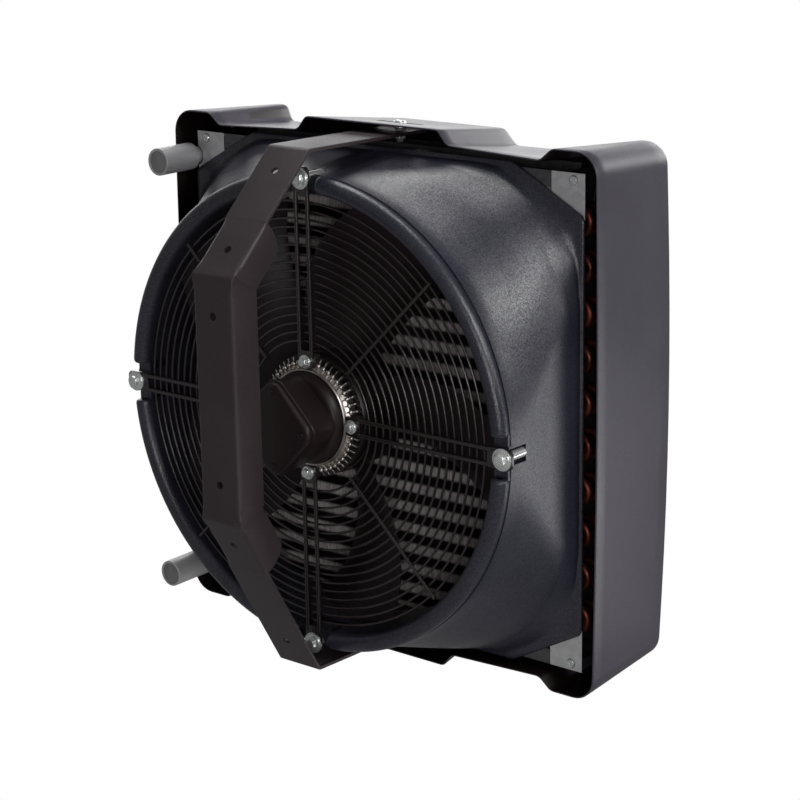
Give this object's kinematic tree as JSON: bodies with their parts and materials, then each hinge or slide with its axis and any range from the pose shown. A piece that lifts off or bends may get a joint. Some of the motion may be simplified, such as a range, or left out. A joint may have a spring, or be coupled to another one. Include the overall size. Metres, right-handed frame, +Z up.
{
  "type": "fan heater unit",
  "caption": "Wall-hung warm air unit: square casing with tube-and-fin coil, bell shroud, guarded axial fan, front louvres and a swivelling wall bracket.",
  "frame": {"origin": "centre of the wall bracket's two-hole pattern, on the bracket's wall face", "axes": "+Z up, +Y out of the bracket into the wall, -Y the way the air is blown, +X towards the supply and return pipes"},
  "size_m": [0.6234, 0.4255, 0.637],
  "materials": {
    "casing_paint": "satin powder coat",
    "bracket_paint": "satin powder coat",
    "shroud_plastic": "satin moulded",
    "louvre_plastic": "satin",
    "bush_plastic": "matte",
    "galvanised": "zinc coated sheet",
    "fin_aluminium": "mill",
    "copper_tube": "dull copper",
    "pipe_metal": "satin grey coat",
    "plug_plastic": "matte",
    "zinc_fastener": "bright zinc",
    "guard_wire": "semi-gloss black",
    "motor_alloy": "as cast",
    "core_steel": "laminated",
    "winding_copper": "varnished",
    "terminal_plastic": "polished",
    "rotor_paint": "satin black",
    "blade_plastic": "satin"
  },
  "bodies": {
    "bracket": {"wall_bracket": "bracket_paint"},
    "heater": {"casing": "casing_paint", "louvre_frame": "louvre_plastic", "louvre_bushes": "bush_plastic", "coil_end_plate_left": "galvanised", "coil_end_plate_right": "galvanised", "coil_top_plate": "galvanised", "coil_bottom_plate": "galvanised", "coil_fins": "fin_aluminium", "coil_tubes": "copper_tube", "return_bends": "copper_tube", "crossover_bends": "copper_tube", "supply_feeders": "copper_tube", "return_feeders": "copper_tube", "supply_header": "copper_tube", "return_header": "copper_tube", "supply_pipe": "pipe_metal", "return_pipe": "pipe_metal", "pipe_plugs": "plug_plastic", "frame_screws": "zinc_fastener", "guard_bolts": "zinc_fastener", "guard_washers": "zinc_fastener", "guard_spacers": "zinc_fastener", "guard_nuts": "zinc_fastener", "motor_bolts": "zinc_fastener", "motor_washers": "zinc_fastener", "pivot_bolts": "zinc_fastener", "pivot_spacers": "zinc_fastener", "pivot_nuts": "zinc_fastener", "lid_screws": "zinc_fastener", "bearings": "zinc_fastener", "shroud": "shroud_plastic", "guard_rings": "guard_wire", "guard_spokes": "guard_wire", "motor_stator": "motor_alloy", "stator_core": "core_steel", "windings": "winding_copper", "terminal_housing": "terminal_plastic", "terminal_lid": "terminal_plastic"},
    "fan": {"rotor_bell": "rotor_paint", "fan_hub_ring": "blade_plastic", "fan_shaft": "zinc_fastener", "fan_blade_1": "blade_plastic", "fan_blade_2": "blade_plastic", "fan_blade_3": "blade_plastic", "fan_blade_4": "blade_plastic", "fan_blade_5": "blade_plastic"},
    "louvre_1": {"louvre_1": "louvre_plastic"},
    "louvre_2": {"louvre_2": "louvre_plastic"},
    "louvre_3": {"louvre_3": "louvre_plastic"},
    "louvre_4": {"louvre_4": "louvre_plastic"},
    "louvre_5": {"louvre_5": "louvre_plastic"},
    "louvre_6": {"louvre_6": "louvre_plastic"},
    "louvre_7": {"louvre_7": "louvre_plastic"},
    "louvre_8": {"louvre_8": "louvre_plastic"}
  },
  "joints": [
    {"name": "heater_swivel", "type": "hinge", "parent": "bracket", "child": "heater", "pos_m": [0, -0.3205, -0.05175], "axis": [0, 0, 1], "range_deg": [-25, 25]},
    {"name": "fan_spin", "type": "hinge", "parent": "heater", "child": "fan", "pos_m": [0, -0.1995, -0.05175], "axis": [0, 1, 0], "continuous": true},
    {"name": "louvre_1_tilt", "type": "hinge", "parent": "heater", "child": "louvre_1", "pos_m": [0, -0.3915, -0.27925], "axis": [1, 0, 0], "range_deg": [-60, 60]},
    {"name": "louvre_2_tilt", "type": "hinge", "parent": "heater", "child": "louvre_2", "pos_m": [0, -0.3915, -0.21425], "axis": [1, 0, 0], "range_deg": [-60, 60]},
    {"name": "louvre_3_tilt", "type": "hinge", "parent": "heater", "child": "louvre_3", "pos_m": [0, -0.3915, -0.14925], "axis": [1, 0, 0], "range_deg": [-60, 60]},
    {"name": "louvre_4_tilt", "type": "hinge", "parent": "heater", "child": "louvre_4", "pos_m": [0, -0.3915, -0.08425], "axis": [1, 0, 0], "range_deg": [-60, 60]},
    {"name": "louvre_5_tilt", "type": "hinge", "parent": "heater", "child": "louvre_5", "pos_m": [0, -0.3915, -0.01925], "axis": [1, 0, 0], "range_deg": [-60, 60]},
    {"name": "louvre_6_tilt", "type": "hinge", "parent": "heater", "child": "louvre_6", "pos_m": [0, -0.3915, 0.04575], "axis": [1, 0, 0], "range_deg": [-60, 60]},
    {"name": "louvre_7_tilt", "type": "hinge", "parent": "heater", "child": "louvre_7", "pos_m": [0, -0.3915, 0.11075], "axis": [1, 0, 0], "range_deg": [-60, 60]},
    {"name": "louvre_8_tilt", "type": "hinge", "parent": "heater", "child": "louvre_8", "pos_m": [0, -0.3915, 0.17575], "axis": [1, 0, 0], "range_deg": [-60, 60]}
  ]
}
